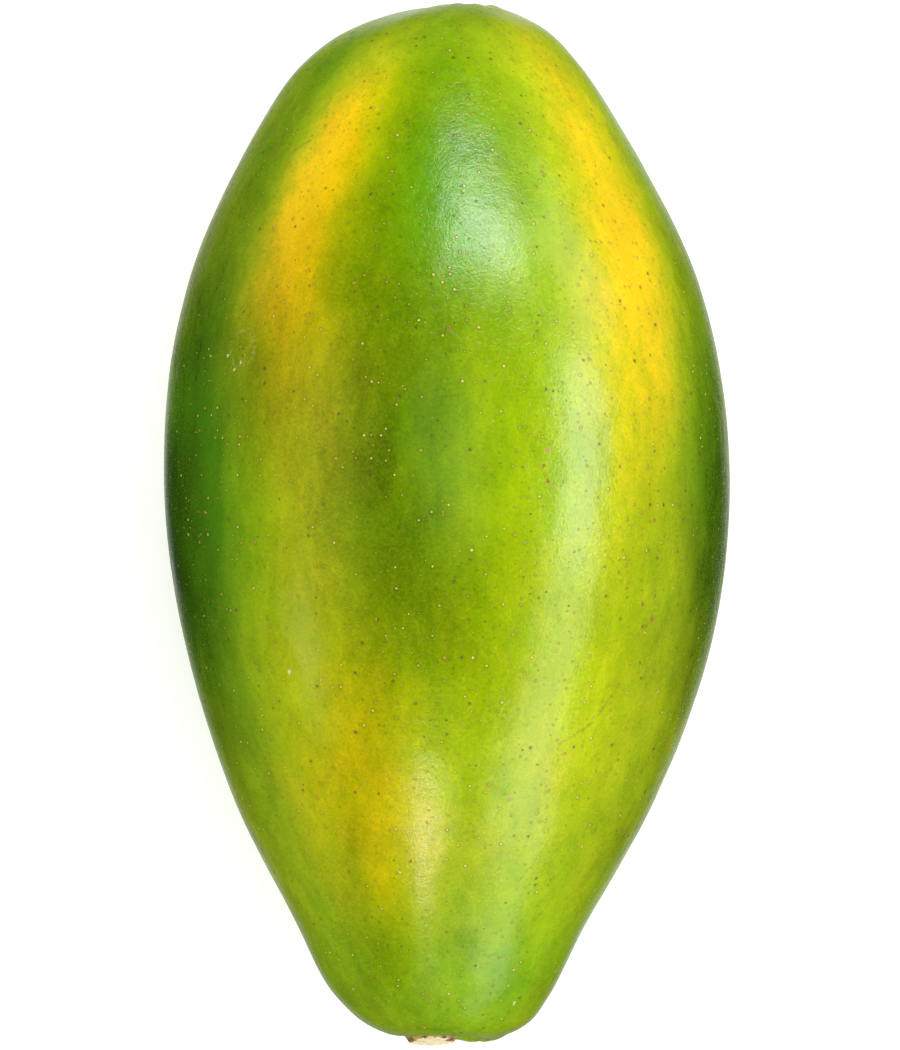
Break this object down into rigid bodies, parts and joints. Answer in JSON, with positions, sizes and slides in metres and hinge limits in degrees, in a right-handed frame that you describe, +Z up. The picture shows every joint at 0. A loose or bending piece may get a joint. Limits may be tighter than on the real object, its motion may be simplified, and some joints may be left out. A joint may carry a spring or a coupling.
{
  "type": "papaya",
  "caption": "Half-ripe papaya lying on its side: long tapering fruit with shallow lobes, a cut stalk stub at the narrow end and a dimple at the blossom end.",
  "frame": {"origin": "on the resting surface, under the middle of the fruit's bounding box", "axes": "+Z up from the resting surface; +Y along the fruit's length, from the cut stalk towards the blossom end; +X to the side, to the right when the fruit is seen from above with the blossom end up"},
  "size_m": [0.1414, 0.2594, 0.1388],
  "materials": {
    "skin": "satin"
  },
  "bodies": {
    "root": {"papaya": "skin"}
  },
  "joints": []
}
